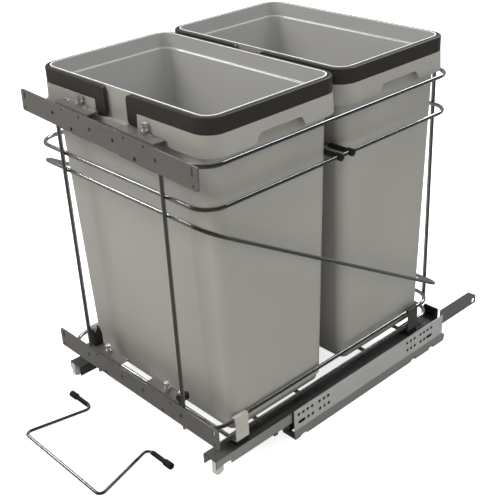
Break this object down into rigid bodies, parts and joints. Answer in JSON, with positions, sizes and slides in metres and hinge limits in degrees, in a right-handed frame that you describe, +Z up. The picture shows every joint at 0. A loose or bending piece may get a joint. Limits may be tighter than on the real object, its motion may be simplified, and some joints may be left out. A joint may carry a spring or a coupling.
{
  "type": "pull-out waste bin unit",
  "caption": "Kitchen base-cabinet pull-out: a chrome wire frame on undermount slides holds lift-out waste bins with bag rings, and slotted steel brackets carry the door.",
  "frame": {"origin": "middle of the underside of the bounding box, on the cabinet floor", "axes": "+Z up; the door and the pull-out direction are at -Y; +X to the right seen from the door"},
  "size_m": [0.3854, 0.7344, 0.5416],
  "materials": {
    "bin_plastic": "moulded silver grey, fine texture",
    "ring_plastic": "moulded dark grey brown, fine texture",
    "bracket_steel": "grey coated steel",
    "clip_steel": "zinc-plated sheet",
    "chrome_wire": "bright chrome plate",
    "zinc_hardware": "zinc-plated",
    "rail_steel": "galvanised sheet",
    "strap_steel": "dark coated steel",
    "black_rubber": "moulded",
    "black_plastic": "moulded",
    "light_plastic": "moulded"
  },
  "bodies": {
    "cabinet": {"cabinet_rail_left": "rail_steel", "cabinet_rail_right": "rail_steel", "inner_track_left": "rail_steel", "inner_track_right": "rail_steel", "track_rivets": "zinc_hardware", "tail_strap_left": "strap_steel", "tail_strap_right": "strap_steel", "soft_close_housing_left": "black_plastic", "soft_close_housing_right": "black_plastic"},
    "middle_rails": {"middle_rail_left": "rail_steel", "middle_rail_right": "rail_steel"},
    "lower_cages": {"lower_roller_cages": "light_plastic", "lower_rollers": "zinc_hardware"},
    "upper_cages": {"upper_roller_cages": "light_plastic", "upper_rollers": "zinc_hardware"},
    "carriage": {"top_hoop": "chrome_wire", "middle_hoop": "chrome_wire", "slanted_hoop": "chrome_wire", "base_hoop_and_posts": "chrome_wire", "lower_base_hoop": "chrome_wire", "rear_post_left": "chrome_wire", "rear_post_right": "chrome_wire", "cross_wires": "chrome_wire", "divider_rod_front": "chrome_wire", "divider_rod_rear": "chrome_wire", "divider_clips": "black_rubber", "bottom_door_bracket": "bracket_steel", "top_door_bracket": "bracket_steel", "bottom_channel_left": "bracket_steel", "bottom_channel_right": "bracket_steel", "top_channel_left": "bracket_steel", "top_channel_right": "bracket_steel", "adjusting_bolts": "zinc_hardware", "lock_nuts": "zinc_hardware", "post_clamp_left": "black_plastic", "post_clamp_right": "black_plastic", "clamp_bolts": "zinc_hardware", "front_clip_left": "clip_steel", "front_clip_right": "clip_steel", "rear_clip_left": "clip_steel", "rear_clip_right": "clip_steel", "clip_feet": "black_plastic", "clip_screws": "zinc_hardware", "drawer_rail_left": "rail_steel", "drawer_rail_right": "rail_steel", "rear_hook_left": "black_plastic", "rear_hook_right": "black_plastic", "lock_tab_left": "light_plastic", "lock_tab_right": "light_plastic", "catch_left": "black_plastic", "catch_right": "black_plastic"},
    "front_bin": {"front_bin": "bin_plastic"},
    "rear_bin": {"rear_bin": "bin_plastic"},
    "front_ring": {"front_ring": "ring_plastic"},
    "rear_ring": {"rear_ring": "ring_plastic"},
    "soft_close_left": {"soft_close_slider_left": "light_plastic"},
    "soft_close_right": {"soft_close_slider_right": "light_plastic"},
    "loose_bail": {"loose_bail": "chrome_wire", "bail_caps": "black_rubber"}
  },
  "joints": [
    {"name": "pull_out", "type": "slide", "parent": "cabinet", "child": "carriage", "axis": [0, -1, 0], "range_m": [0, 0.43]},
    {"name": "middle_rail_slide", "type": "slide", "parent": "cabinet", "child": "middle_rails", "axis": [0, -1, 0], "range_m": [0, 0.215]},
    {"name": "lower_cage_slide", "type": "slide", "parent": "cabinet", "child": "lower_cages", "axis": [0, -1, 0], "range_m": [0, 0.1075]},
    {"name": "upper_cage_slide", "type": "slide", "parent": "middle_rails", "child": "upper_cages", "axis": [0, -1, 0], "range_m": [0, 0.1075]},
    {"name": "front_bin_lift", "type": "slide", "parent": "carriage", "child": "front_bin", "axis": [0, 0, 1], "range_m": [0, 0.44]},
    {"name": "rear_bin_lift", "type": "slide", "parent": "carriage", "child": "rear_bin", "axis": [0, 0, 1], "range_m": [0, 0.44]},
    {"name": "front_ring_lift", "type": "slide", "parent": "front_bin", "child": "front_ring", "axis": [0, 0, 1], "range_m": [0, 0.06]},
    {"name": "rear_ring_lift", "type": "slide", "parent": "rear_bin", "child": "rear_ring", "axis": [0, 0, 1], "range_m": [0, 0.06]},
    {"name": "soft_close_left_slide", "type": "slide", "parent": "cabinet", "child": "soft_close_left", "axis": [0, -1, 0], "range_m": [0, 0.045]},
    {"name": "soft_close_right_slide", "type": "slide", "parent": "cabinet", "child": "soft_close_right", "axis": [0, -1, 0], "range_m": [0, 0.045]},
    {"name": "loose_bail_lift", "type": "slide", "parent": "cabinet", "child": "loose_bail", "axis": [0, 0, 1], "range_m": [0, 0.2]}
  ],
  "couplings": [
    {"joint": "middle_rail_slide", "follows": "pull_out", "ratio": 0.5},
    {"joint": "lower_cage_slide", "follows": "pull_out", "ratio": 0.25},
    {"joint": "upper_cage_slide", "follows": "pull_out", "ratio": 0.25}
  ]
}
